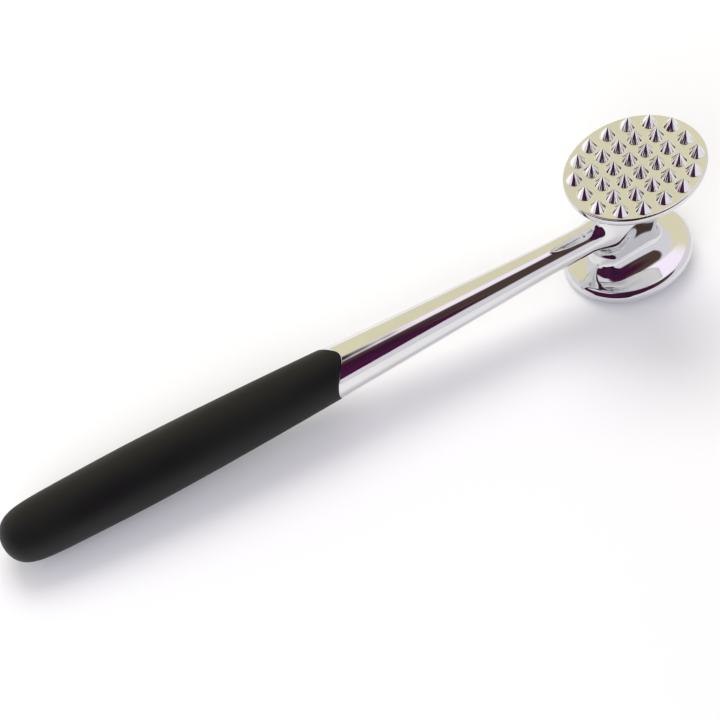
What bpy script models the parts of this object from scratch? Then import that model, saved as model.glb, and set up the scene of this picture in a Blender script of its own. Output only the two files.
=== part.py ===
"""Meat mallet: one plated zinc casting and a rubber grip sleeve moulded over its tang.

The casting's head is two oval plates on an oblong neck: the lower one has the flat pounding
face and the upper one carries the spikes. A round shank runs from the neck to the grip.

Frame: the origin is the centre of the flat pounding face, +Z goes up through the head to the
spiked face, and the handle runs towards -X. Sizes are in metres, written as millimetres * MM.
"""

import math

import bmesh
import bpy
from mathutils import Matrix, Vector

MM = 0.001

# Driving dimensions
OVERALL_LENGTH = 225.0 * MM      # far rim of the head to the butt of the grip, along X
FACE_LENGTH = 42.0 * MM          # both faces are ovals; this is along the handle
FACE_WIDTH = 34.4 * MM           # across the handle
HEAD_HEIGHT = 45.0 * MM          # flat face to the seat of the spikes
EDGE_REACH = 0.7 * MM            # rounding of each face's edge, inwards
EDGE_DROP = 0.5 * MM             # and in height
SIDE_TOP = 1.1 * MM              # from a face to where the rounding of the back starts
BACK_RADIUS = 2.8 * MM
BACK_TURN = 84.0                 # degrees that the rounding turns through
BACK_CROWN = 5.4 * MM            # from a face to the middle of its softly crowned back
BACK_FLAT_RADIUS = 7.0 * MM      # inside this the crown is flat

NECK_HALF_LENGTH = 10.2 * MM     # the neck's section halfway up, along the handle
NECK_HALF_WIDTH = 4.4 * MM       # and across it, which is also the radius of its round ends
NECK_CENTRE = -1.3 * MM          # its middle, along X
NECK_FLARE = 5.0 * MM            # how much it widens all round where it meets the backs
NECK_FLARE_TOP = 12.5 * MM       # the flare starts this high over a face
NECK_FOOT = 4.2 * MM             # and ends here, just inside the back

SPIKE_HEIGHT = 3.8 * MM
SPIKE_RADIUS = 2.2 * MM
SPIKE_PITCH = 5.36 * MM          # of the square grid of spikes inside the ring
SPIKE_SINK = 0.4 * MM            # how far a spike's root reaches into the face
SPIKE_SIDES = 18

HANDLE_Z = 20.9 * MM             # where the handle's axis crosses the head's axis
HANDLE_TILT = math.radians(3.2)  # the butt is carried higher than the head
SHANK_END_RADIUS = 4.2 * MM      # at the head's axis, inside the neck
SHANK_WAIST = (28.0 * MM, 4.6 * MM)   # distance from the head's axis, radius
GRIP_FRONT = (99.0 * MM, 7.6 * MM)
GRIP_SWELL = (163.0 * MM, 9.3 * MM)
BUTT_START = (197.5 * MM, 8.3 * MM)

TONGUE_RADIUS = 8.2 * MM         # the shank ends in a round tongue on each flank of the grip
TONGUE_CENTRE = 95.2 * MM
GAP = 0.3 * MM                   # left between the casting and the rubber

TANG_START = 88.0 * MM
TANG_END = 190.0 * MM
TANG_ROOT_RADIUS = 5.6 * MM
TANG_TIP_RADIUS = 4.3 * MM
TANG_TIP_BEVEL = 1.5 * MM
GROOVE_DEPTH = 0.8 * MM
GROOVE_WIDTH = 5.0 * MM
GROOVE_FLANK = 1.2 * MM
GROOVE_PLACES = (118.0 * MM, 138.0 * MM, 158.0 * MM, 178.0 * MM)

AROUND_HEAD = 60
AROUND_NECK = 62                 # no step lies on the neck's middle plane, where it is pulled apart
AROUND_HANDLE = 44


def clear_scene():
    """An empty file, so the script can be run again and again."""
    for old in list(bpy.data.objects):
        bpy.data.objects.remove(old, do_unlink=True)


def new_collection(name):
    made = bpy.data.collections.new(name)
    bpy.context.scene.collection.children.link(made)
    return made


def plain_material(name, colour, roughness, metallic):
    made = bpy.data.materials.new(name)
    made.use_nodes = True
    shader = made.node_tree.nodes["Principled BSDF"]
    shader.inputs["Base Color"].default_value = (*colour, 1.0)
    shader.inputs["Roughness"].default_value = roughness
    shader.inputs["Metallic"].default_value = metallic
    made.diffuse_color = (*colour, 1.0)
    return made


def bezier(start, start_handle, end_handle, end, count):
    """Points along a cubic curve, without its first one."""
    controls = [Vector(point) for point in (start, start_handle, end_handle, end)]
    points = []
    for index in range(1, count + 1):
        t = index / count
        weights = ((1 - t) ** 3, 3 * t * (1 - t) ** 2, 3 * t * t * (1 - t), t ** 3)
        total = Vector((0.0, 0.0))
        for weight, control in zip(weights, controls):
            total += weight * control
        points.append((total.x, total.y))
    return points


def arc(centre, radius, first, last, count):
    """Points along an arc, without its first one; angles in degrees from +r towards +z."""
    points = []
    for index in range(1, count + 1):
        angle = math.radians(first + (last - first) * index / count)
        points.append((centre[0] + radius * math.cos(angle), centre[1] + radius * math.sin(angle)))
    return points


def turned(name, profile, steps, collection):
    """A solid of revolution about local Z; the profile (r, z) runs from the top to the bottom."""
    mesh = bpy.data.meshes.new(name)
    edges = [(index, index + 1) for index in range(len(profile) - 1)]
    mesh.from_pydata([(r, 0.0, z) for r, z in profile], edges, [])
    made = bpy.data.objects.new(name, mesh)
    collection.objects.link(made)
    screw = made.modifiers.new("Turn", "SCREW")
    screw.axis = "Z"
    screw.steps = steps
    screw.render_steps = steps
    screw.use_merge_vertices = True
    screw.merge_threshold = 0.00001
    screw.use_smooth_shade = True
    return made


def as_mesh(source, name, collection):
    """The object with its modifiers applied, as a new object; the source is removed."""
    bpy.context.view_layer.update()
    evaluated = source.evaluated_get(bpy.context.evaluated_depsgraph_get())
    mesh = bpy.data.meshes.new_from_object(evaluated)
    mesh.name = name
    made = bpy.data.objects.new(name, mesh)
    made.matrix_world = source.matrix_world.copy()
    collection.objects.link(made)
    bpy.data.objects.remove(source, do_unlink=True)
    return made


def boolean(target, operation, other):
    step = target.modifiers.new(f"{operation.title()} {other.name}", "BOOLEAN")
    step.operation = operation
    step.solver = "EXACT"
    step.object = other


def hide_as_cutter(tool):
    tool.hide_render = True
    tool.display_type = "WIRE"


def on_handle():
    """Local +Z runs along the handle's axis towards the head, from the butt."""
    return Matrix.Translation((0.0, 0.0, HANDLE_Z)) @ Matrix.Rotation(math.pi / 2 + HANDLE_TILT, 4, "Y")


def plate_profile():
    """(r, height over the face) of one plate, from the middle of its back to the middle of its face."""
    rim = FACE_LENGTH / 2
    flat = rim - EDGE_REACH
    edge = [(r, z * EDGE_DROP / EDGE_REACH) for r, z in arc((flat, EDGE_REACH), EDGE_REACH, -90, 0, 4)]
    points = [(0.0, 0.0), (flat, 0.0)] + edge + [(rim, SIDE_TOP)]
    points += arc((rim - BACK_RADIUS, SIDE_TOP), BACK_RADIUS, 0, BACK_TURN, 6)
    start = Vector(points[-1])
    turn = math.radians(BACK_TURN)
    ease = start + Vector((-math.sin(turn), math.cos(turn))) * 5.0 * MM
    crown = (BACK_FLAT_RADIUS, BACK_CROWN)
    points += bezier(start, ease, (crown[0] + 3.0 * MM, BACK_CROWN), crown, 4)
    points.append((0.0, BACK_CROWN))
    return points[::-1]


def make_plates(collection):
    """The two oval plates: a turned one drawn in across the handle, and its mirror image above."""
    plates = turned("plate_blanks", plate_profile(), AROUND_HEAD, collection)
    plates.matrix_world = Matrix.Diagonal((1.0, FACE_WIDTH / FACE_LENGTH, 1.0, 1.0))
    middle = bpy.data.objects.new("head_middle", None)
    middle.location = (0.0, 0.0, HEAD_HEIGHT / 2)
    collection.objects.link(middle)
    mirror = plates.modifiers.new("Upper plate", "MIRROR")
    mirror.use_axis = (False, False, True)
    mirror.use_mirror_merge = False
    mirror.mirror_object = middle
    return plates


def make_neck(collection):
    """The oblong neck: a turned spool with flared ends, pulled apart in the middle along the handle."""
    middle = (NECK_HALF_WIDTH, HEAD_HEIGHT / 2)
    flare_top = (NECK_HALF_WIDTH, NECK_FLARE_TOP)
    foot = (NECK_HALF_WIDTH + NECK_FLARE, NECK_FOOT)
    lower = [middle, flare_top]
    lower += bezier(flare_top, (NECK_HALF_WIDTH, NECK_FLARE_TOP - 4.0 * MM),
                    (foot[0] - 3.0 * MM, NECK_FOOT + 0.6 * MM), foot, 8)
    lower += [(foot[0], NECK_FOOT - 2.0 * MM), (0.0, NECK_FOOT - 2.0 * MM)]
    upper = [(r, HEAD_HEIGHT - z) for r, z in lower[:0:-1]]
    spool = turned("neck_spool", upper + lower, AROUND_NECK, collection)
    neck = as_mesh(spool, "neck_blank", collection)
    for vertex in neck.data.vertices:
        if abs(vertex.co.x) > 0.01 * MM:
            vertex.co.x += math.copysign(NECK_HALF_LENGTH - NECK_HALF_WIDTH, vertex.co.x)
    neck.matrix_world = Matrix.Translation((NECK_CENTRE, 0.0, 0.0))
    return neck


def spike_places():
    """Three rows of four and two rows of three on a square grid, inside an oval ring of sixteen."""
    places = [(row * SPIKE_PITCH, (place - 1.5) * SPIKE_PITCH) for row in (-1, 0, 1) for place in range(4)]
    places += [(row * SPIKE_PITCH, place * SPIKE_PITCH) for row in (-2, 2) for place in (-1, 0, 1)]
    ends = ((16.6 * MM, 0.0), (0.0, 13.45 * MM))
    quarter = ((16.2 * MM, 5.85 * MM), (11.9 * MM, 10.4 * MM), (6.4 * MM, 13.0 * MM))
    for x, y in ends:
        places += [(x, y), (-x, -y)]
    for x, y in quarter:
        places += [(x, y), (-x, y), (-x, -y), (x, -y)]
    return places


def make_spikes(collection):
    """All the pointed cones, in one object whose bodies stay apart."""
    mesh = bpy.data.meshes.new("spike_blanks")
    shapes = bmesh.new()
    sunk_radius = SPIKE_RADIUS * (1 + SPIKE_SINK / SPIKE_HEIGHT)
    depth = SPIKE_HEIGHT + SPIKE_SINK
    for x, y in spike_places():
        middle = HEAD_HEIGHT - SPIKE_SINK + depth / 2
        bmesh.ops.create_cone(
            shapes, cap_ends=True, segments=SPIKE_SIDES, radius1=sunk_radius, radius2=0.0,
            depth=depth, matrix=Matrix.Translation((x, y, middle)),
        )
    shapes.to_mesh(mesh)
    shapes.free()
    made = bpy.data.objects.new("spike_blanks", mesh)
    collection.objects.link(made)
    return made


def handle_outline():
    """(distance from the head's axis, radius) along the whole handle, from the head to the butt."""
    butt = (OVERALL_LENGTH - FACE_LENGTH / 2) / math.cos(HANDLE_TILT)
    slope = (GRIP_FRONT[1] - SHANK_WAIST[1]) / (GRIP_FRONT[0] - SHANK_WAIST[0])
    points = [(0.0, SHANK_END_RADIUS), (12.0 * MM, 4.6 * MM), SHANK_WAIST]
    for index in range(1, 7):
        distance = SHANK_WAIST[0] + (GRIP_FRONT[0] - SHANK_WAIST[0]) * index / 6
        points.append((distance, SHANK_WAIST[1] + slope * (distance - SHANK_WAIST[0])))
    points += bezier(GRIP_FRONT, (110.0 * MM, GRIP_FRONT[1] + slope * 11.0 * MM),
                     (140.0 * MM, GRIP_SWELL[1]), GRIP_SWELL, 6)
    points += bezier(GRIP_SWELL, (176.0 * MM, GRIP_SWELL[1]), (188.0 * MM, 8.75 * MM), BUTT_START, 4)
    end = butt - BUTT_START[0]
    for index in range(1, 8):
        angle = math.pi / 2 * index / 8
        points.append((BUTT_START[0] + end * math.sin(angle), BUTT_START[1] * math.cos(angle)))
    points.append((butt, 0.0))
    return points


def outline_between(first, last):
    """The part of the handle's outline between two distances, with its own points at both ends."""
    outline = handle_outline()

    def radius_at(distance):
        for (d0, r0), (d1, r1) in zip(outline, outline[1:]):
            if d0 <= distance <= d1:
                return r0 + (r1 - r0) * (distance - d0) / (d1 - d0)
        return 0.0

    inner = [point for point in outline if first < point[0] < last]
    return [(first, radius_at(first))] + inner + [(last, radius_at(last))]


def capped(outline):
    """An outline as a closed turned profile about local Z, running down from the head end."""
    profile = [(radius, -distance) for distance, radius in outline]
    if profile[0][0] > 0.0:
        profile.insert(0, (0.0, profile[0][1]))
    if profile[-1][0] > 0.0:
        profile.append((0.0, profile[-1][1]))
    return profile


def tang_outline(clearance):
    """The tang with its ring grooves, which the rubber fills; or its bore, a clearance larger."""
    length = TANG_END - TANG_START

    def plain_radius(distance):
        fall = (distance - TANG_START) / length
        return TANG_ROOT_RADIUS + (TANG_TIP_RADIUS - TANG_ROOT_RADIUS) * fall + clearance

    points = [(TANG_START, plain_radius(TANG_START))]
    for place in GROOVE_PLACES:
        half = GROOVE_WIDTH / 2
        for offset, depth in ((-half, 0.0), (GROOVE_FLANK - half, GROOVE_DEPTH),
                              (half - GROOVE_FLANK, GROOVE_DEPTH), (half, 0.0)):
            points.append((place + offset, plain_radius(place + offset) - depth))
    end = TANG_END + clearance
    bevel = TANG_TIP_BEVEL
    points.append((end - bevel, plain_radius(end - bevel)))
    points.append((end, plain_radius(end) - bevel))
    return points


def make_tongue_slab(name, clearance, collection):
    """A slab across the handle with a round end: it keeps the shank and cuts the rubber's front."""
    radius = TONGUE_RADIUS + clearance
    length = TONGUE_CENTRE + 20.0 * MM
    wide = 30.0 * MM
    place = on_handle()
    bpy.ops.mesh.primitive_cylinder_add(vertices=96, radius=radius, depth=wide)
    round_end = bpy.context.active_object
    round_end.name = name
    round_end.matrix_world = (
        place @ Matrix.Translation((0.0, 0.0, -TONGUE_CENTRE)) @ Matrix.Rotation(math.pi / 2, 4, "X")
    )
    bpy.ops.mesh.primitive_cube_add(size=1.0)
    block = bpy.context.active_object
    block.name = name + "_block"
    middle = length / 2 - TONGUE_CENTRE
    size = Matrix.Diagonal((2 * radius, wide - 2 * MM, length, 1.0))
    block.matrix_world = place @ Matrix.Translation((0.0, 0.0, middle)) @ size
    for shape in (round_end, block):
        for home in list(shape.users_collection):
            home.objects.unlink(shape)
        collection.objects.link(shape)
        hide_as_cutter(shape)
    boolean(round_end, "UNION", block)
    return round_end


def make_cast_body(parts, tools):
    """The casting: the shank as its base, with the tang, neck, plates and spikes joined on."""
    slab = make_tongue_slab("tongue_keeper", 0.0, tools)
    tang = turned("tang_blank", capped(tang_outline(0.0)), AROUND_HANDLE, tools)
    neck = make_neck(tools)
    plates = make_plates(tools)
    spikes = make_spikes(tools)
    tang.matrix_world = on_handle()
    for tool in (tang, neck, plates, spikes):
        hide_as_cutter(tool)
    shank_end = TONGUE_CENTRE + TONGUE_RADIUS + 2.0 * MM
    body = turned("cast_body", capped(outline_between(0.0, shank_end)), AROUND_HANDLE, parts)
    body.matrix_world = on_handle()
    boolean(body, "INTERSECT", slab)
    for tool in (tang, neck, plates, spikes):
        boolean(body, "UNION", tool)
    return body


def make_grip_sleeve(parts, tools):
    """The rubber: its front follows the shank's two tongues, its bore follows the grooved tang."""
    slab = make_tongue_slab("tongue_cutter", GAP, tools)
    bore = turned("bore_cutter", capped(tang_outline(GAP)), AROUND_HANDLE, tools)
    bore.matrix_world = on_handle()
    hide_as_cutter(bore)
    butt = handle_outline()[-1][0]
    outline = outline_between(TONGUE_CENTRE - 2.0 * MM, butt)
    sleeve = turned("grip_sleeve", capped(outline), AROUND_HANDLE, parts)
    sleeve.matrix_world = on_handle()
    boolean(sleeve, "DIFFERENCE", slab)
    boolean(sleeve, "DIFFERENCE", bore)
    return sleeve


def finish(piece, material, collection, smooth_degrees):
    """The booleans applied, smooth shading with the real edges kept sharp, and one material."""
    name = piece.name
    piece.name = name + "_source"
    made = as_mesh(piece, name, collection)
    made.data.materials.clear()
    made.data.materials.append(material)
    for face in made.data.polygons:
        face.use_smooth = True
        face.material_index = 0
    made.data.set_sharp_from_angle(angle=math.radians(smooth_degrees))
    return made


def main():
    clear_scene()
    parts = new_collection("meat_mallet")
    tools = new_collection("cutters")
    plating = plain_material("bright_plating", (0.82, 0.82, 0.84), 0.06, 1.0)
    rubber = plain_material("black_rubber", (0.018, 0.018, 0.019), 0.55, 0.0)
    body = make_cast_body(parts, tools)
    sleeve = make_grip_sleeve(parts, tools)
    finish(body, plating, parts, 35)
    finish(sleeve, rubber, parts, 35)
    for tool in list(tools.objects):
        bpy.data.objects.remove(tool, do_unlink=True)


main()
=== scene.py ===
"""Looks of the meat mallet: plated casting with spikes, rubber grip, studio floor, light and camera."""

import math

import bmesh
import bpy
import numpy as np
from mathutils import Matrix, Vector


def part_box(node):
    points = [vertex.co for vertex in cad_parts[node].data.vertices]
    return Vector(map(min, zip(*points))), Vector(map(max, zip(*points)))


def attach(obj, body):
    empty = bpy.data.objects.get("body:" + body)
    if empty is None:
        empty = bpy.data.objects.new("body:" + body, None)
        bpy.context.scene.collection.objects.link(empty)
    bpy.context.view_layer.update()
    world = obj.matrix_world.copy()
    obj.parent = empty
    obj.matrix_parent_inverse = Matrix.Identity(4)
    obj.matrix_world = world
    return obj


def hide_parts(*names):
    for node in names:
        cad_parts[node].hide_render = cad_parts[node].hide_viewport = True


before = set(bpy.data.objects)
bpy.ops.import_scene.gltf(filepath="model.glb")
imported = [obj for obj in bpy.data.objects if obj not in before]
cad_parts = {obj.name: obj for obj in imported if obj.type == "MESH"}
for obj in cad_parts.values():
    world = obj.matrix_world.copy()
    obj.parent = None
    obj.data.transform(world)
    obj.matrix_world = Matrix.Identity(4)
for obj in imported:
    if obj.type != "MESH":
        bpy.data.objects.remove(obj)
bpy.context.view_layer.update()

MM = 0.001

# From the frame
CAST_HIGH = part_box("cast_body")[1]
GRIP_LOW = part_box("grip_sleeve")[0]
RIM = CAST_HIGH[0]          # half the length of a face, along the handle
HALF_WIDTH = CAST_HIGH[1]   # half the width of a face, across the handle
OVAL = RIM / HALF_WIDTH
SPIKE_HEIGHT = 3.8 * MM
HEAD_HEIGHT = CAST_HIGH[2] - SPIKE_HEIGHT   # from the flat face to the seat of the spikes

# The head: two oval plates with softly crowned backs on an oblong neck, as in the CAD
EDGE_REACH = 0.7 * MM       # rounding of each face's edge, inwards
EDGE_DROP = 0.5 * MM        # and in height
SIDE_TOP = 1.1 * MM         # where the plate's side ends and the back's rounding starts
BACK_RADIUS = 2.8 * MM
BACK_TURN = math.radians(84.0)
BACK_EASE = 5.0 * MM        # reach of the back curve's handle at the rounding
BACK_CROWN = 5.4 * MM       # height of the back's middle, inside the neck
BACK_LEVEL = 7.0 * MM       # and of its level handle in the middle
NECK_HALF_WIDTH = 4.4 * MM
NECK_HALF_LENGTH = 10.2 * MM
NECK_CENTRE = -1.3 * MM
NECK_FILLET = 7.5 * MM      # how far the neck's joints with the plates reach

# The handle, as in the CAD; distances are along its axis, from the head's axis
HANDLE_Z = 20.9 * MM
HANDLE_TILT = math.radians(3.2)
BUTT = -GRIP_LOW[0] / math.cos(HANDLE_TILT)
SHANK_START = 28.0 * MM     # the shank's taper starts here
SHANK_RADIUS = 4.6 * MM
GRIP_START = 99.0 * MM
GRIP_FRONT_RADIUS = 7.6 * MM
GRIP_SWELL = 163.0 * MM     # the grip is thickest here
GRIP_RADIUS = 9.3 * MM
TONGUE_RADIUS = 8.2 * MM
TONGUE_CENTRE = 95.2 * MM
TANG_START = 88.0 * MM
TANG_END = 190.0 * MM
TANG_RADII = (5.6 * MM, 4.3 * MM)
TANG_BEVEL = 1.5 * MM
GROOVES = (118.0 * MM, 138.0 * MM, 158.0 * MM, 178.0 * MM)
GROOVE_WIDTH = 5.0 * MM
GROOVE_FLANK = 1.2 * MM
GROOVE_DEPTH = 0.8 * MM
GAP = 0.3 * MM              # between the tang and the rubber's bore

# Spikes, as in the CAD, with the tips and roots rounded
SPIKE_RADIUS = 2.2 * MM
SPIKE_PITCH = 5.36 * MM
SPIKE_FILLET = 0.2 * MM
SPIKE_TIP = 0.10 * MM
SPIKE_SINK = 0.3 * MM
SPIKE_SIDES = 40

# What only the finished surfaces have
SHANK_FILLET = 6.0 * MM     # how far the shank's joint with the neck reaches
SHANK_ROOT = 9.0 * MM       # the shank starts inside the neck here
SHANK_EASE = 9.0 * MM       # length over which the taper eases in
EASE_DROP = 0.1 * MM        # less radius, to allow for what the easing adds
SHOULDER_ROUNDING = 0.45 * MM   # where the plated shank ends against the rubber
SHOULDER_FILLET = 0.25 * MM
LIP_ROUNDING = 0.40 * MM    # the rubber's front edge
LIP_PROUD = 0.12 * MM       # how far it stands over the shank
LIP_GAP = 0.10 * MM         # its gap to the shank's end
BUTT_ROUND = 8.0 * MM       # length of the rings that close the butt

# Meshing
CELL = 0.35 * MM            # size of the faces on the head
CUT = -44.0 * MM            # the head's mesh hands over to the shank's rings here
TABLE_STEP = 0.25 * MM
CHUNK = 4000                # points measured at a time, to save memory
SHANK_RINGS = 64
GRIP_SIDES = 96
GRIP_RINGS = 110

AXIS_START = Vector((0.0, 0.0, HANDLE_Z))
ALONG = Vector((-math.cos(HANDLE_TILT), 0.0, math.sin(HANDLE_TILT)))   # towards the butt
ABOVE = Vector((math.sin(HANDLE_TILT), 0.0, math.cos(HANDLE_TILT)))


# ---------------------------------------------------------------- outlines

def bezier(start, start_handle, end_handle, end, count):
    """count points along a cubic curve, without its first one."""
    t = np.linspace(0.0, 1.0, count + 1)[1:, None]
    controls = [np.array(point) for point in (start, start_handle, end_handle, end)]
    weights = ((1 - t) ** 3, 3 * t * (1 - t) ** 2, 3 * t * t * (1 - t), t ** 3)
    return sum(weight * control for weight, control in zip(weights, controls))


def plate_outline():
    """(r, z) around one plate's half section, from the middle of its face to the middle of its back."""
    flat = RIM - EDGE_REACH
    turn = np.radians(np.linspace(-90.0, 0.0, 25))[1:]
    edge = np.stack([flat + EDGE_REACH * np.cos(turn), EDGE_DROP + EDGE_DROP * np.sin(turn)], 1)
    turn = np.linspace(0.0, BACK_TURN, 30)
    back = np.stack([RIM - BACK_RADIUS + BACK_RADIUS * np.cos(turn),
                     SIDE_TOP + BACK_RADIUS * np.sin(turn)], 1)
    start = back[-1]
    slope = math.tan(math.pi / 2 - BACK_TURN)
    ease = (start[0] - BACK_EASE, start[1] + BACK_EASE * slope)
    crown = bezier(start, ease, (BACK_LEVEL, BACK_CROWN), (0.0, BACK_CROWN), 50)
    face = np.array([(0.0, 0.0), (flat * 0.5, 0.0), (flat, 0.0)])
    return np.concatenate([face, edge, back, crown])


OUTLINE = plate_outline()
STEPS = OUTLINE[1:] - OUTLINE[:-1]
LENGTHS = np.hypot(*STEPS.T)
STEP_NORMALS = np.stack([STEPS[:, 1], -STEPS[:, 0]], 1) / LENGTHS[:, None]


def point_normals():
    """The outline's outward normal at each of its points, smooth but for the ends."""
    normals = np.concatenate([STEP_NORMALS[:1], STEP_NORMALS[1:] + STEP_NORMALS[:-1], STEP_NORMALS[-1:]])
    return normals / np.hypot(*normals.T)[:, None]


POINT_NORMALS = point_normals()


def outline_distance(r, z):
    """Signed distance from the plate's outline, and the outward direction (r, z) there."""
    distance = np.empty(len(r))
    normal = np.empty((len(r), 2))
    for first in range(0, len(r), CHUNK):
        part = slice(first, first + CHUNK)
        offset = np.stack([r[part], z[part]], 1)[:, None, :] - OUTLINE[None, :-1, :]
        along = np.clip((offset * STEPS).sum(2) / LENGTHS ** 2, 0.0, 1.0)
        gap = offset - along[:, :, None] * STEPS
        nearest = (gap ** 2).sum(2).argmin(1)
        rows = np.arange(len(nearest))
        share = along[rows, nearest][:, None]
        mixed = POINT_NORMALS[nearest] * (1 - share) + POINT_NORMALS[nearest + 1] * share
        mixed /= np.hypot(*mixed.T)[:, None]
        away = gap[rows, nearest]
        side = np.sign((away * mixed).sum(1))
        distance[part] = side * np.hypot(*away.T)
        normal[part] = mixed
    return distance, normal


SHANK_SLOPE = (GRIP_FRONT_RADIUS - SHANK_RADIUS) / (GRIP_START - SHANK_START)


def shank_radius(distance):
    """Radius of the shank, and its slope: the taper eases out towards the head."""
    past = distance - SHANK_START
    root = np.sqrt(past ** 2 + SHANK_EASE ** 2)
    radius = SHANK_RADIUS + SHANK_SLOPE * 0.5 * (past + root) - EASE_DROP
    return radius, SHANK_SLOPE * 0.5 * (1 + past / root)


def grip_radius(distance):
    """Radius of the rubber: it swells towards the palm and has a blunt round butt."""
    front = (distance - GRIP_START) / (GRIP_SWELL - GRIP_START)
    t = np.clip(front, 0.0, 1.0)
    run = GRIP_SWELL - GRIP_START
    start_radius, start_slope = shank_radius(np.array(GRIP_START))
    rise = GRIP_RADIUS - start_radius
    swell = start_radius + rise * t * t * (3 - 2 * t) + start_slope * run * t * (1 - t) ** 2
    back = np.clip((distance - GRIP_SWELL) / (BUTT - GRIP_SWELL), 0.0, 1.0)
    butt = GRIP_RADIUS * (1 - 0.1 * back ** 1.5) * np.sqrt(1 - back ** 12)
    shank = shank_radius(distance)[0]
    return np.where(distance < GRIP_START, shank, np.where(distance < GRIP_SWELL, swell, butt))


# ---------------------------------------------------------------- the casting's surface

def handle_coordinates(points):
    """(distance from the head's axis, distance from the handle's axis, outward direction)."""
    offset = points - np.array(AXIS_START)
    distance = offset @ np.array(ALONG)
    away = offset - distance[:, None] * np.array(ALONG)
    radius = np.maximum(np.sqrt((away ** 2).sum(1)), 1e-9)
    return distance, radius, away / radius[:, None]


def blend(first, second, reach):
    """Smooth union of two distances; also how much the first one counts."""
    share = np.clip(0.5 + 0.5 * (second - first) / reach, 0.0, 1.0)
    return first * share + second * (1 - share) - reach * share * (1 - share), share


def neck_distance(points):
    """Distance from the wall of the neck, which has flat flanks and round ends, and which way is out."""
    offset = points[..., 0] - NECK_CENTRE
    past_flank = np.maximum(np.abs(offset) - NECK_HALF_LENGTH + NECK_HALF_WIDTH, 0.0) * np.sign(offset)
    reach = np.maximum(np.hypot(past_flank, points[..., 1]), 1e-9)
    out = np.stack([past_flank / reach, points[..., 1] / reach, np.zeros(reach.shape)], -1)
    return reach - NECK_HALF_WIDTH, out


def shank_distance(distance, radius):
    """Distance from the shank, which starts inside the neck with a round end."""
    behind = np.minimum(distance - SHANK_ROOT, 0.0)
    reach = np.maximum(np.sqrt(radius ** 2 + behind ** 2), 1e-9)
    shank_r, slope = shank_radius(np.maximum(distance, SHANK_ROOT))
    return reach - shank_r, reach, behind, slope


def casting_field(points):
    """How far outside the casting's smooth surface the points are, and which way is out.

    Each half of the head is measured from its own face, as if it were the lower one.
    """
    upper = points[:, 2] > HEAD_HEIGHT / 2
    flip = np.where(upper, -1.0, 1.0)
    height = np.where(upper, HEAD_HEIGHT - points[:, 2], points[:, 2])
    r = np.maximum(np.hypot(points[:, 0], points[:, 1] * OVAL), 1e-9)
    plate, normal = outline_distance(r, height)
    plate_out = np.stack([normal[:, 0] * points[:, 0] / r, normal[:, 0] * OVAL ** 2 * points[:, 1] / r,
                          normal[:, 1] * flip], 1)
    neck, neck_out = neck_distance(points)
    head, share = blend(plate, neck, NECK_FILLET)
    head_out = plate_out * share[:, None] + neck_out * (1 - share)[:, None]
    past_face = -height > head
    head = np.where(past_face, -height, head)
    head_out[past_face] = flip[past_face, None] * (0.0, 0.0, -1.0)
    distance, radius, away = handle_coordinates(points)
    shank, reach, behind, slope = shank_distance(distance, radius)
    shank_out = away * (radius / reach)[:, None] + np.array(ALONG) * (behind / reach)[:, None]
    shank_out -= np.array(ALONG) * np.where(distance > SHANK_ROOT, slope, 0.0)[:, None]
    level, share = blend(head, shank, SHANK_FILLET)
    return level, head_out * share[:, None] + shank_out * (1 - share)[:, None]


def rough_field(grid):
    """casting_field on a large grid, with the plates' part read from a small table."""
    table_r = np.arange(0.0, 240.0) * TABLE_STEP
    table_z = np.arange(-16.0, 104.0) * TABLE_STEP
    mesh_r, mesh_z = np.meshgrid(table_r, table_z, indexing="ij")
    table = outline_distance(mesh_r.ravel(), mesh_z.ravel())[0].reshape(mesh_r.shape)
    height = HEAD_HEIGHT / 2 - np.abs(grid[..., 2] - HEAD_HEIGHT / 2)
    r = np.hypot(grid[..., 0], grid[..., 1] * OVAL)
    at_r = np.clip((r - table_r[0]) / TABLE_STEP, 0, len(table_r) - 1.001)
    at_z = np.clip((height - table_z[0]) / TABLE_STEP, 0, len(table_z) - 1.001)
    i, j = at_r.astype(int), at_z.astype(int)
    a, b = at_r - i, at_z - j
    plate = ((table[i, j] * (1 - a) + table[i + 1, j] * a) * (1 - b)
             + (table[i, j + 1] * (1 - a) + table[i + 1, j + 1] * a) * b)
    head = np.maximum(blend(plate, neck_distance(grid)[0], NECK_FILLET)[0], -height)
    distance, radius, _ = handle_coordinates(grid.reshape(-1, 3))
    shank = shank_distance(distance, radius)[0].reshape(head.shape)
    return blend(head, shank, SHANK_FILLET)[0]


def settle(points, rounds=6):
    """Moves points straight onto the casting's surface; returns them and their normals."""
    for _ in range(rounds):
        level, out = casting_field(points)
        points = points - out * (level / (out ** 2).sum(1))[:, None]
    out = casting_field(points)[1]
    return points, out / np.sqrt((out ** 2).sum(1))[:, None]


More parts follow.
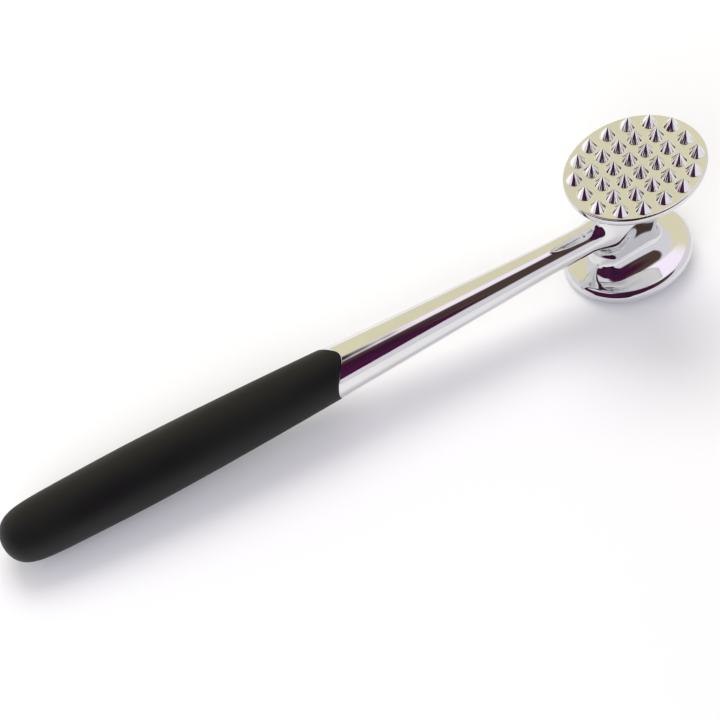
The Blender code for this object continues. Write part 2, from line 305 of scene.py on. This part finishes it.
def head_mesh():
    """Quads over the head and the start of the shank, open where the shank's rings take over.

    A point is put in every cell of a grid that the surface passes through (surface nets), and settle()
    then moves the points onto the surface.
    """
    low = np.array((CUT, -HALF_WIDTH - 2.2 * CELL, -2.2 * CELL))
    high = np.array((RIM + 2 * CELL, HALF_WIDTH + 2 * CELL, HEAD_HEIGHT + 2 * CELL))
    counts = np.ceil((high - low) / CELL).astype(int) + 1
    axes = [low[k] + CELL * np.arange(counts[k]) for k in range(3)]
    grid = np.stack(np.meshgrid(*axes, indexing="ij"), -1)
    solid = rough_field(grid) < 0
    corners = sum(solid[i:counts[0] - 1 + i, j:counts[1] - 1 + j, k:counts[2] - 1 + k].astype(int)
                  for i in (0, 1) for j in (0, 1) for k in (0, 1))
    active = (corners > 0) & (corners < 8)
    number = np.full(active.shape, -1)
    number[active] = np.arange(active.sum())
    points = low + CELL * (np.argwhere(active) + 0.5)
    faces = []
    for axis in range(3):
        before = [slice(None)] * 3
        after = [slice(None)] * 3
        before[axis], after[axis] = slice(0, -1), slice(1, None)
        change = solid[tuple(before)].astype(int) - solid[tuple(after)].astype(int)
        u, v = (axis + 1) % 3, (axis + 2) % 3
        cells = np.argwhere(change != 0)
        inner = (cells[:, u] > 0) & (cells[:, v] > 0)
        inner &= (cells[:, u] < counts[u] - 1) & (cells[:, v] < counts[v] - 1)
        cells = cells[inner]
        sign = change[tuple(cells.T)]
        ring = []
        for du, dv in ((-1, -1), (0, -1), (0, 0), (-1, 0)):
            cell = cells.copy()
            cell[:, u] += du
            cell[:, v] += dv
            ring.append(number[tuple(cell.T)])
        quads = np.stack(ring, 1)
        quads[sign < 0] = quads[sign < 0][:, ::-1]
        faces.append(quads)
    return points, np.concatenate(faces)


def boundary_loop(faces):
    """The vertices around the open end of a quad mesh, in order."""
    edges = {}
    for face in faces.tolist():
        edges.update(((a, b), True) for a, b in zip(face, face[1:] + face[:1]))
    follow = {b: a for a, b in edges if (b, a) not in edges}
    start = min(follow)
    loop = [start]
    while follow[loop[-1]] != start:
        loop.append(follow[loop[-1]])
    return np.array(loop)


def around(distance, angle, radius):
    """Points on the handle and their outward directions; the angle is from -Y, up over the top."""
    out = -np.cos(angle)[:, None] * np.array((0.0, 1.0, 0.0)) + np.sin(angle)[:, None] * np.array(ABOVE)
    return np.array(AXIS_START) + distance[:, None] * np.array(ALONG) + radius[:, None] * out, out


def tongue_edge(angle):
    """Where the plated shank ends and the rubber starts, around the handle."""
    height = GRIP_FRONT_RADIUS * np.sin(angle)
    return TONGUE_CENTRE + np.sqrt(TONGUE_RADIUS ** 2 - height ** 2)


def tang_stations(clearance):
    """(distance, radius) along the tang and its grooves, from the shoulder to the tip."""
    def plain(distance):
        share = (distance - TANG_START) / (TANG_END - TANG_START)
        return TANG_RADII[0] + (TANG_RADII[1] - TANG_RADII[0]) * share + clearance

    half = 0.5 * GROOVE_WIDTH
    groove = ((-half, 0.0), (GROOVE_FLANK - half, GROOVE_DEPTH),
              (half - GROOVE_FLANK, GROOVE_DEPTH), (half, 0.0))
    stations = []
    for place in GROOVES:
        stations += [(place + offset, plain(place + offset) - depth) for offset, depth in groove]
    end = TANG_END + clearance
    stations.append((end - TANG_BEVEL, plain(end - TANG_BEVEL)))
    stations.append((end, plain(end) - TANG_BEVEL))
    return stations


class Skin:
    """A mesh made ring by ring along the handle."""

    def __init__(self):
        self.points = []
        self.faces = []
        self.count = 0
        self.last = None

    def add(self, points):
        """Loose points; returns their numbers."""
        self.points.append(np.asarray(points, float))
        numbers = np.arange(self.count, self.count + len(points))
        self.count += len(points)
        return numbers

    def ring(self, numbers):
        """Joins a closed ring of numbered points to the last one; outside is to the left of travel."""
        if self.last is not None:
            a, b = self.last, numbers
            self.faces.extend(np.stack([a, np.roll(a, -1), np.roll(b, -1), b], 1).tolist())
        self.last = numbers

    def close(self, point):
        """Ends the skin in a single point."""
        tip = self.add([point])[0]
        a = self.last
        self.faces.extend([[int(p), int(q), int(tip)] for p, q in zip(a, np.roll(a, -1))])


def new_object(name, points, faces, material):
    """A smooth-shaded piece."""
    mesh = bpy.data.meshes.new(name)
    mesh.from_pydata(np.asarray(points).tolist(), [], [list(map(int, face)) for face in faces])
    mesh.validate()
    mesh.shade_smooth()
    mesh.materials.append(material)
    made = bpy.data.objects.new(name, mesh)
    bpy.context.scene.collection.objects.link(made)
    return made


def orient(piece):
    """Faces out, on a closed mesh."""
    shape = bmesh.new()
    shape.from_mesh(piece.data)
    bmesh.ops.recalc_face_normals(shape, faces=shape.faces)
    shape.to_mesh(piece.data)
    shape.free()
    piece.data.shade_smooth()


# ---------------------------------------------------------------- pieces

def make_casting(material):
    """Plates, neck, shank, rounded tongue ends and tang, as one closed skin with exact normals."""
    points, faces = head_mesh()
    points, normals = settle(points)
    used = np.unique(faces)
    renumber = np.full(len(points), -1)
    renumber[used] = np.arange(len(used))
    points, normals, faces = points[used], normals[used], renumber[faces]
    loop = boundary_loop(faces)

    offset = points[loop] - np.array(AXIS_START)
    angle = np.unwrap(np.arctan2(offset @ np.array(ABOVE), -offset[:, 1]))
    turn = np.sign(angle[-1] - angle[0])
    even = angle.mean() + turn * (np.arange(len(loop)) - (len(loop) - 1) / 2) * 2 * math.pi / len(loop)
    start = offset @ np.array(ALONG)

    skin = Skin()
    skin.add(points)
    skin.faces = faces.tolist()
    skin.last = loop
    rounding = SHOULDER_ROUNDING
    for step in range(1, SHANK_RINGS + 1):
        share = step / SHANK_RINGS
        at = angle + (even - angle) * min(1.0, share * 3)
        edge = tongue_edge(at) - rounding
        distance = start + (edge - start) * share
        radius, slope = shank_radius(distance)
        place, out = around(distance, at, radius)
        tilt = out - slope[:, None] * np.array(ALONG)
        skin.ring(skin.add(place))
        normals = np.concatenate([normals, tilt / np.sqrt((tilt ** 2).sum(1))[:, None]])
    for step in range(1, 7):
        turn_by = math.pi / 2 * step / 6
        distance = edge + rounding * math.sin(turn_by)
        place, out = around(distance, even, radius - rounding * (1 - math.cos(turn_by)))
        skin.ring(skin.add(place))
        tilt = out * math.cos(turn_by) + np.array(ALONG) * math.sin(turn_by)
        normals = np.concatenate([normals, tilt])
    smooth_count = skin.count
    full = np.ones(len(even))
    fillet = SHOULDER_FILLET
    skin.ring(skin.add(around(edge + rounding, even, (TANG_RADII[0] + fillet) * full)[0]))
    skin.ring(skin.add(around(edge + rounding + fillet, even, TANG_RADII[0] * full)[0]))
    for distance, radius in tang_stations(0.0):
        skin.ring(skin.add(around(distance * full, even, radius * full)[0]))
    skin.close(np.array(AXIS_START + ALONG * TANG_END))
    made = new_object("plated_casting", np.concatenate(skin.points), skin.faces, material)
    orient(made)
    hidden = np.zeros((skin.count - smooth_count, 3))   # the tang keeps its plain smooth normals
    made.data.normals_split_custom_set_from_vertices(np.concatenate([normals, hidden]).tolist())
    return made


def spike_places():
    """Three rows of four and two rows of three on a square grid, inside an oval ring of sixteen."""
    places = [(row * SPIKE_PITCH, (place - 1.5) * SPIKE_PITCH) for row in (-1, 0, 1) for place in range(4)]
    places += [(row * SPIKE_PITCH, place * SPIKE_PITCH) for row in (-2, 2) for place in (-1, 0, 1)]
    ends = ((16.6 * MM, 0.0), (0.0, 13.45 * MM))
    quarter = ((16.2 * MM, 5.85 * MM), (11.9 * MM, 10.4 * MM), (6.4 * MM, 13.0 * MM))
    for x, y in ends:
        places += [(x, y), (-x, -y)]
    for x, y in quarter:
        places += [(x, y), (-x, y), (-x, -y), (x, -y)]
    return places


def spike_outline():
    """(r, height over the face) of one spike: a small root fillet, a straight flank and a blunt tip."""
    slope = math.atan2(SPIKE_HEIGHT, SPIKE_RADIUS)
    foot = SPIKE_RADIUS + SPIKE_FILLET * math.tan(slope / 2)
    rows = [(foot, -SPIKE_SINK)]
    for step in range(6):
        turn = slope * step / 5
        rows.append((foot - SPIKE_FILLET * math.sin(turn), SPIKE_FILLET * (1 - math.cos(turn))))
    centre = SPIKE_HEIGHT - SPIKE_TIP
    for step in range(5):
        turn = math.pi / 2 - slope + slope * step / 4
        rows.append((SPIKE_TIP * math.cos(turn), centre + SPIKE_TIP * math.sin(turn)))
    return rows


def make_spikes(material):
    """The pointed cones, each a turned shape let into the face."""
    outline = spike_outline()
    rings = len(outline) - 1
    sides = SPIKE_SIDES
    angle = np.linspace(0.0, 2 * math.pi, sides, endpoint=False)
    points, faces = [], []
    for x, y in spike_places():
        base = len(points)
        for r, z in outline[:-1]:
            points += [(x + r * math.cos(a), y + r * math.sin(a), HEAD_HEIGHT + z) for a in angle]
        for ring in range(rings - 1):
            for step in range(sides):
                a = base + ring * sides + step
                b = base + ring * sides + (step + 1) % sides
                faces.append((a, b, b + sides, a + sides))
        tip = len(points)
        points.append((x, y, HEAD_HEIGHT + outline[-1][1]))
        last = base + (rings - 1) * sides
        faces += [(last + step, last + (step + 1) % sides, tip) for step in range(sides)]
        faces.append(tuple(base + step for step in reversed(range(sides))))
    made = new_object("spikes", points, faces, material)
    made.data.set_sharp_from_angle(angle=math.radians(50))
    return made


def make_grip(material):
    """The rubber sleeve: blind bore, front edge that follows the tongues, swell and blunt butt."""
    angle = np.linspace(0.0, 2 * math.pi, GRIP_SIDES, endpoint=False)
    full = np.ones(GRIP_SIDES)
    front = tongue_edge(angle) + LIP_GAP
    body_start = front + LIP_ROUNDING
    body_end = BUTT - BUTT_ROUND
    skin = Skin()

    def lay(distance, radius):
        skin.ring(skin.add(around(distance, angle, radius)[0]))

    for distance, radius in reversed(tang_stations(GAP)):
        lay(distance * full, radius * full)
    lay(front + 0.6 * MM, (TANG_RADII[0] + GAP) * full)
    lay(front, (TANG_RADII[0] + GAP + 0.4 * MM) * full)
    rim = grip_radius(body_start) + LIP_PROUD
    for step in range(7):
        turn = math.pi / 2 * step / 6
        distance = front + LIP_ROUNDING * (1 - math.cos(turn))
        lay(distance, rim - LIP_ROUNDING + LIP_ROUNDING * math.sin(turn))
    for step in range(1, GRIP_RINGS + 1):
        share = step / GRIP_RINGS
        distance = body_start + (body_end - body_start) * share
        lay(distance, grip_radius(distance) + LIP_PROUD * np.clip(1 - share * 3, 0, 1))
    for step in range(1, 24):
        turn = math.pi / 2 * step / 24
        distance = body_end + (BUTT - body_end) * math.sin(turn)
        lay(distance * full, grip_radius(distance * full))
    skin.close(np.array(AXIS_START + ALONG * BUTT))
    bore_end = int(skin.add(np.array([AXIS_START + ALONG * (TANG_END + GAP)]))[0])
    faces = skin.faces + [[(step + 1) % GRIP_SIDES, step, bore_end] for step in range(GRIP_SIDES)]
    made = new_object("rubber_grip", np.concatenate(skin.points), faces, material)
    orient(made)
    made.data.set_sharp_from_angle(angle=math.radians(50))
    return made


# ---------------------------------------------------------------- materials

def new_material(name):
    """A material with a Principled shader; returns (material, node adder, linker, shader)."""
    made = bpy.data.materials.new(name)
    made.use_nodes = True
    tree = made.node_tree
    shader = tree.nodes["Principled BSDF"]

    def add(kind, **values):
        node = tree.nodes.new(kind)
        for key, value in values.items():
            if key in node.inputs:
                node.inputs[key].default_value = value
            else:
                setattr(node, key, value)
        return node

    return made, add, tree.links.new, shader


def set_ramp(ramp, low, low_colour, high, high_colour):
    """Two colours of a colour ramp and their positions."""
    elements = ramp.color_ramp.elements
    elements[0].position, elements[1].position = low, high
    elements[0].color = (*low_colour, 1.0)
    elements[1].color = (*high_colour, 1.0)


def set_range(node, *limits):
    """A Map Range node's limits: from the first to the second, onto the third to the fourth."""
    for name, value in zip(("From Min", "From Max", "To Min", "To Max"), limits):
        node.inputs[name].default_value = value


def plated_metal(name, brightness):
    """Bright plating: near-mirror, with the casting's faint ripple, hazy patches and a very fine grain."""
    made, add, link, shader = new_material(name)
    shader.inputs["Metallic"].default_value = 1.0
    place = add("ShaderNodeTexCoord")

    tint = add("ShaderNodeTexNoise", Scale=60.0, Detail=3.0)
    link(place.outputs["Object"], tint.inputs["Vector"])
    colour = add("ShaderNodeValToRGB")
    dull = (0.93 * brightness, 0.93 * brightness, 0.95 * brightness)
    set_ramp(colour, 0.3, dull, 0.7, (brightness, brightness, brightness))
    link(tint.outputs["Fac"], colour.inputs["Fac"])
    link(colour.outputs["Color"], shader.inputs["Base Color"])

    haze = add("ShaderNodeTexNoise", Scale=140.0, Detail=6.0, Roughness=0.65)
    link(place.outputs["Object"], haze.inputs["Vector"])
    rough = add("ShaderNodeMapRange")
    set_range(rough, 0.35, 0.75, 0.03, 0.09)
    link(haze.outputs["Fac"], rough.inputs["Value"])
    link(rough.outputs["Result"], shader.inputs["Roughness"])

    ripple = add("ShaderNodeTexNoise", Scale=90.0, Detail=1.0)
    link(place.outputs["Object"], ripple.inputs["Vector"])
    soft = add("ShaderNodeBump", Strength=0.10, Distance=0.0006)
    link(ripple.outputs["Fac"], soft.inputs["Height"])

    grain = add("ShaderNodeTexNoise", Scale=2600.0, Detail=4.0)
    link(place.outputs["Object"], grain.inputs["Vector"])
    fine = add("ShaderNodeBump", Strength=0.02, Distance=0.00005)
    link(grain.outputs["Fac"], fine.inputs["Height"])
    link(soft.outputs["Normal"], fine.inputs["Normal"])
    link(fine.outputs["Normal"], shader.inputs["Normal"])
    return made


def rubber(name):
    """Moulded black rubber: satin, with a fine skin grain and faintly cloudy patches."""
    made, add, link, shader = new_material(name)
    shader.inputs["Specular IOR Level"].default_value = 0.3
    place = add("ShaderNodeTexCoord")
    cloud = add("ShaderNodeTexNoise", Scale=45.0, Detail=4.0)
    link(place.outputs["Object"], cloud.inputs["Vector"])
    colour = add("ShaderNodeValToRGB")
    set_ramp(colour, 0.35, (0.0045, 0.0045, 0.005), 0.75, (0.007, 0.007, 0.007))
    link(cloud.outputs["Fac"], colour.inputs["Fac"])
    link(colour.outputs["Color"], shader.inputs["Base Color"])
    rough = add("ShaderNodeMapRange")
    set_range(rough, 0.3, 0.7, 0.50, 0.62)
    link(cloud.outputs["Fac"], rough.inputs["Value"])
    link(rough.outputs["Result"], shader.inputs["Roughness"])
    grain = add("ShaderNodeTexNoise", Scale=3000.0, Detail=3.0)
    link(place.outputs["Object"], grain.inputs["Vector"])
    bump = add("ShaderNodeBump", Strength=0.25, Distance=0.00006)
    link(grain.outputs["Fac"], bump.inputs["Height"])
    link(bump.outputs["Normal"], shader.inputs["Normal"])
    return made


# ---------------------------------------------------------------- studio

def resting_plane(pieces):
    """(point, normal) of the floor that the mallet lies on: its head's rim and its butt touch it.

    That is the edge of the side view's lower hull under the balance point, about a quarter of the way
    from the head's axis to the butt.
    """
    points = np.concatenate([np.array([vertex.co[:] for vertex in piece.data.vertices]) for piece in pieces])
    flat = points[:, (0, 2)]
    flat = flat[np.argsort(flat[:, 0])]
    hull = []
    for point in flat:
        while len(hull) > 1:
            a, b = hull[-2], hull[-1]
            if (b[0] - a[0]) * (point[1] - a[1]) - (b[1] - a[1]) * (point[0] - a[0]) > 0:
                break
            hull.pop()
        hull.append(point)
    balance = 0.25 * GRIP_LOW[0]
    for a, b in zip(hull, hull[1:]):
        if a[0] <= balance <= b[0]:
            run = b - a
            normal = Vector((-run[1], 0.0, run[0])).normalized()
            return Vector((b[0], 0.0, b[1])), normal
    raise ValueError("no resting edge")


def make_floor(pieces):
    """A wide pale sheet under the mallet."""
    point, normal = resting_plane(pieces)
    bpy.ops.mesh.primitive_plane_add(size=6.0)
    floor = bpy.context.active_object
    floor.name = "studio_floor"
    turn = Vector((0.0, 0.0, 1.0)).rotation_difference(normal)
    floor.matrix_world = Matrix.Translation(point) @ turn.to_matrix().to_4x4()
    made, _, _, shader = new_material("pale_floor")
    shader.inputs["Base Color"].default_value = (0.90, 0.91, 0.95, 1.0)
    shader.inputs["Roughness"].default_value = 0.9
    shader.inputs["Specular IOR Level"].default_value = 0.0
    floor.data.materials.append(made)


def direction(azimuth, elevation):
    """A unit vector; azimuth is from +X towards +Y, in degrees."""
    a, e = math.radians(azimuth), math.radians(elevation)
    return Vector((math.cos(a) * math.cos(e), math.sin(a) * math.cos(e), math.sin(e)))


# Soft areas of the studio that the plating mirrors: azimuth, elevation, angular radius and softness
# in degrees, and the colour; a later one lies over the ones before it
SURROUNDINGS = (
    ("cream_ceiling", 75.0, 35.0, 52.0, 12.0, (0.86, 0.81, 0.57)),
    ("lamp", 12.0, 64.0, 11.0, 3.0, (1.15, 1.04, 1.20)),
    ("brown_overhead", -75.0, 54.0, 29.0, 3.0, (0.085, 0.055, 0.045)),
    ("plum_overhead", -86.0, 60.0, 18.0, 4.0, (0.060, 0.008, 0.040)),
    ("navy_overhead", 63.0, 83.5, 14.0, 3.0, (0.012, 0.010, 0.028)),
)
HORIZON_COLOUR = (0.80, 0.79, 0.85)
BACKDROP_COLOUR = (0.93, 0.93, 0.94)

# A colour Mix node's sockets, by number, because its names are shared with its other types
MIX_FACTOR, MIX_A, MIX_B, MIX_RESULT = 0, 6, 7, 2


def make_world():
    """A pale studio with a few soft dark and bright areas, and a plain pale backdrop for the camera."""
    world = bpy.data.worlds.new("studio")
    bpy.context.scene.world = world
    world.use_nodes = True
    tree = world.node_tree
    add, link = tree.nodes.new, tree.links.new
    background = tree.nodes["Background"]
    place = add("ShaderNodeTexCoord")
    colour = None
    for name, azimuth, elevation, radius, softness, tint in SURROUNDINGS:
        aim = add("ShaderNodeVectorMath")
        aim.operation = "DOT_PRODUCT"
        aim.inputs[1].default_value = direction(azimuth, elevation)
        link(place.outputs["Generated"], aim.inputs[0])
        edge = add("ShaderNodeMapRange")
        edge.interpolation_type = "SMOOTHSTEP"
        edge.inputs["From Min"].default_value = math.cos(math.radians(radius + softness))
        edge.inputs["From Max"].default_value = math.cos(math.radians(radius - softness))
        link(aim.outputs["Value"], edge.inputs["Value"])
        mix = add("ShaderNodeMix")
        mix.data_type = "RGBA"
        mix.label = name
        if colour is None:
            mix.inputs[MIX_A].default_value = (*HORIZON_COLOUR, 1.0)
        else:
            link(colour, mix.inputs[MIX_A])
        mix.inputs[MIX_B].default_value = (*tint, 1.0)
        link(edge.outputs["Result"], mix.inputs[MIX_FACTOR])
        colour = mix.outputs[MIX_RESULT]
    ray = add("ShaderNodeLightPath")
    backdrop = add("ShaderNodeMix")
    backdrop.data_type = "RGBA"
    link(ray.outputs["Is Camera Ray"], backdrop.inputs[MIX_FACTOR])
    link(colour, backdrop.inputs[MIX_A])
    backdrop.inputs[MIX_B].default_value = (*BACKDROP_COLOUR, 1.0)
    link(backdrop.outputs[MIX_RESULT], background.inputs["Color"])
    background.inputs["Strength"].default_value = 1.0


# The dark card's outline as the head sees it: azimuth, lower and upper elevation in degrees
DARK_CARD = ((-190.0, 20.0, 40.0), (-160.0, 13.0, 60.0), (-151.0, -6.0, 64.0), (-129.0, -6.0, 66.0),
             (-109.0, -6.0, 66.0), (-100.0, 10.0, 65.0), (-88.0, 16.0, 64.0), (-70.0, 30.0, 58.0))
DARK_CARD_DISTANCE = 0.45
DARK_CARD_COLUMNS = 40


def make_dark_card():
    """A dark plum card behind the camera, curved about the head and seen only in reflections."""
    far = DARK_CARD_DISTANCE
    azimuths = np.linspace(DARK_CARD[0][0], DARK_CARD[-1][0], DARK_CARD_COLUMNS)
    limits = np.array(DARK_CARD)
    lows = np.interp(azimuths, limits[:, 0], limits[:, 1])
    highs = np.interp(azimuths, limits[:, 0], limits[:, 2])
    points = []
    for azimuth, low, high in zip(np.radians(azimuths), np.radians(lows), np.radians(highs)):
        for elevation in (low, high):
            height = HEAD_HEIGHT + far * math.tan(elevation)
            points.append((far * math.cos(azimuth), far * math.sin(azimuth), height))
    faces = [(2 * step, 2 * step + 2, 2 * step + 3, 2 * step + 1) for step in range(DARK_CARD_COLUMNS - 1)]
    made, add, link, shader = new_material("dark_card")
    shader.inputs["Base Color"].default_value = (0.0, 0.0, 0.0, 1.0)
    shader.inputs["Specular IOR Level"].default_value = 0.0
    place = add("ShaderNodeTexCoord")
    folds = add("ShaderNodeTexNoise", Scale=5.0, Detail=2.0)
    link(place.outputs["Object"], folds.inputs["Vector"])
    tint = add("ShaderNodeValToRGB")
    set_ramp(tint, 0.40, (0.030, 0.012, 0.035), 0.60, (0.075, 0.010, 0.050))
    link(folds.outputs["Fac"], tint.inputs["Fac"])
    link(tint.outputs["Color"], shader.inputs["Emission Color"])
    shader.inputs["Emission Strength"].default_value = 1.0
    card = new_object("dark_card", points, faces, made)
    card.visible_camera = False
    card.visible_diffuse = False
    card.visible_shadow = False


SOFT_BOX = (0.6, 0.4)
LIGHT_TARGET = (-0.1, 0.0, 0.0)


def make_light(name, place, power, colour):
    """A soft box aimed at the middle of the mallet, which no surface mirrors."""
    light = bpy.data.lights.new(name, "AREA")
    light.shape = "RECTANGLE"
    light.size, light.size_y = SOFT_BOX
    light.energy = power
    light.color = colour
    made = bpy.data.objects.new(name, light)
    bpy.context.scene.collection.objects.link(made)
    made.location = place
    made.rotation_euler = (Vector(LIGHT_TARGET) - Vector(place)).to_track_quat("-Z", "Y").to_euler()
    made.visible_glossy = False


def make_camera():
    """The photograph's viewpoint: above the near flank, looking down the handle's length, rolled."""
    place = Vector((-118.8, -148.9, 294.9)) * MM
    target = Vector((-92.35, 1.8, 22.0)) * MM
    roll = math.radians(20.65)
    data = bpy.data.cameras.new("camera")
    data.sensor_width = 36.0
    data.lens = 53.45
    data.clip_start = 0.01
    camera = bpy.data.objects.new("camera", data)
    bpy.context.scene.collection.objects.link(camera)
    ahead = (target - place).normalized()
    right = ahead.cross(Vector((0.0, 0.0, 1.0))).normalized()
    above = right.cross(ahead)
    turned_right = right * math.cos(roll) - above * math.sin(roll)
    turned_above = right * math.sin(roll) + above * math.cos(roll)
    matrix = Matrix((turned_right, turned_above, -ahead)).transposed().to_4x4()
    matrix.translation = place
    camera.matrix_world = matrix
    bpy.context.scene.camera = camera


def main():
    casting = make_casting(plated_metal("bright_plating", 0.79))
    spikes = make_spikes(plated_metal("spike_plating", 0.95))
    grip = make_grip(rubber("black_rubber"))
    for piece in (casting, spikes, grip):
        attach(piece, "root")
    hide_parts("cast_body")
    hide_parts("grip_sleeve")
    make_floor((casting, grip))
    make_world()
    make_dark_card()
    make_light("key", (0.1, 0.5, 0.7), 3.5, (1.0, 0.99, 0.97))
    make_light("fill", (-0.5, -0.4, 0.6), 2.3, (0.97, 0.97, 1.0))
    make_camera()
    bpy.context.scene.view_settings.view_transform = "Standard"


main()
